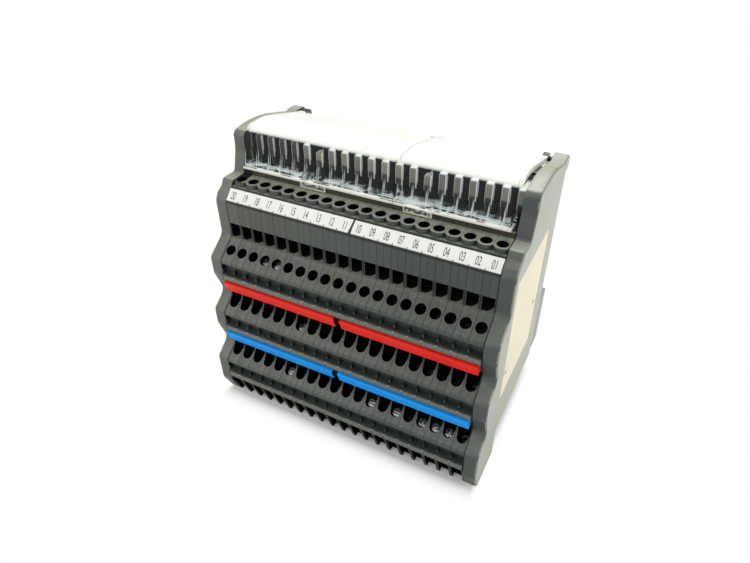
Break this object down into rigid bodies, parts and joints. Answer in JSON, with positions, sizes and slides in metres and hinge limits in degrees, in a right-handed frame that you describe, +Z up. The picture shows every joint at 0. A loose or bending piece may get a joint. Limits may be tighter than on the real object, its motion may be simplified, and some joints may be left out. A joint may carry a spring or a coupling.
{
  "type": "terminal block",
  "caption": "Multi-level terminal block: a row of stepped poles between two end plates, with plugs under hinged clear covers, cross bars, label strips and a rail foot with sliding latches.",
  "frame": {"origin": "centre of the overall box, at the level of the base", "axes": "+X along the row of poles, +Y towards the mounting rail, +Z up; wires enter from -Y"},
  "size_m": [0.136, 0.0958, 0.1312],
  "materials": {
    "housing": "satin moulded grey-green polyamide",
    "end_plate": "satin moulded grey-green polyamide",
    "plug": "moulded grey-brown polyamide",
    "clear_cover": "clear polycarbonate",
    "label_strip": "white printed card",
    "side_label": "cream paper label",
    "bridge_red": "red insulated bar",
    "bridge_blue": "blue insulated bar",
    "screw": "zinc plated",
    "foot": "satin moulded",
    "latch": "satin moulded",
    "bracket": "satin moulded",
    "rod": "zinc plated"
  },
  "bodies": {
    "block": {"terminal_01": "housing", "terminal_02": "housing", "terminal_03": "housing", "terminal_04": "housing", "terminal_05": "housing", "terminal_06": "housing", "terminal_07": "housing", "terminal_08": "housing", "terminal_09": "housing", "terminal_10": "housing", "terminal_11": "housing", "terminal_12": "housing", "terminal_13": "housing", "terminal_14": "housing", "terminal_15": "housing", "terminal_16": "housing", "terminal_17": "housing", "terminal_18": "housing", "terminal_19": "housing", "terminal_20": "housing", "plug_01": "plug", "plug_02": "plug", "plug_03": "plug", "plug_04": "plug", "plug_05": "plug", "plug_06": "plug", "plug_07": "plug", "plug_08": "plug", "plug_09": "plug", "plug_10": "plug", "plug_11": "plug", "plug_12": "plug", "plug_13": "plug", "plug_14": "plug", "plug_15": "plug", "plug_16": "plug", "plug_17": "plug", "plug_18": "plug", "plug_19": "plug", "plug_20": "plug", "clamp_screws_upper": "screw", "clamp_screws_first": "screw", "clamp_screws_second": "screw", "clamp_screws_third": "screw", "end_plate_left": "end_plate", "end_plate_right": "end_plate", "label_strip_left": "label_strip", "label_strip_right": "label_strip", "bridge_red_left": "bridge_red", "bridge_red_right": "bridge_red", "bridge_blue_left": "bridge_blue", "bridge_blue_right": "bridge_blue", "side_label": "side_label", "rail_foot": "foot", "hinge_bracket": "bracket", "tie_rods": "rod"},
    "cover_left": {"cover_left": "clear_cover"},
    "cover_right": {"cover_right": "clear_cover"},
    "latch_left": {"rail_latch_left": "latch"},
    "latch_right": {"rail_latch_right": "latch"}
  },
  "joints": [
    {"name": "cover_left_hinge", "type": "hinge", "parent": "block", "child": "cover_left", "pos_m": [-0.0252, 0.03455, 0.1224], "axis": [-1, 0, 0], "range_deg": [0, 100]},
    {"name": "cover_right_hinge", "type": "hinge", "parent": "block", "child": "cover_right", "pos_m": [0.036, 0.03455, 0.1224], "axis": [-1, 0, 0], "range_deg": [0, 100]},
    {"name": "latch_left_slide", "type": "slide", "parent": "block", "child": "latch_left", "axis": [0, 0, -1], "range_m": [0, 0.004], "stiffness_N_per_m": 400, "springref_m": -0.003},
    {"name": "latch_right_slide", "type": "slide", "parent": "block", "child": "latch_right", "axis": [0, 0, -1], "range_m": [0, 0.004], "stiffness_N_per_m": 400, "springref_m": -0.003}
  ]
}
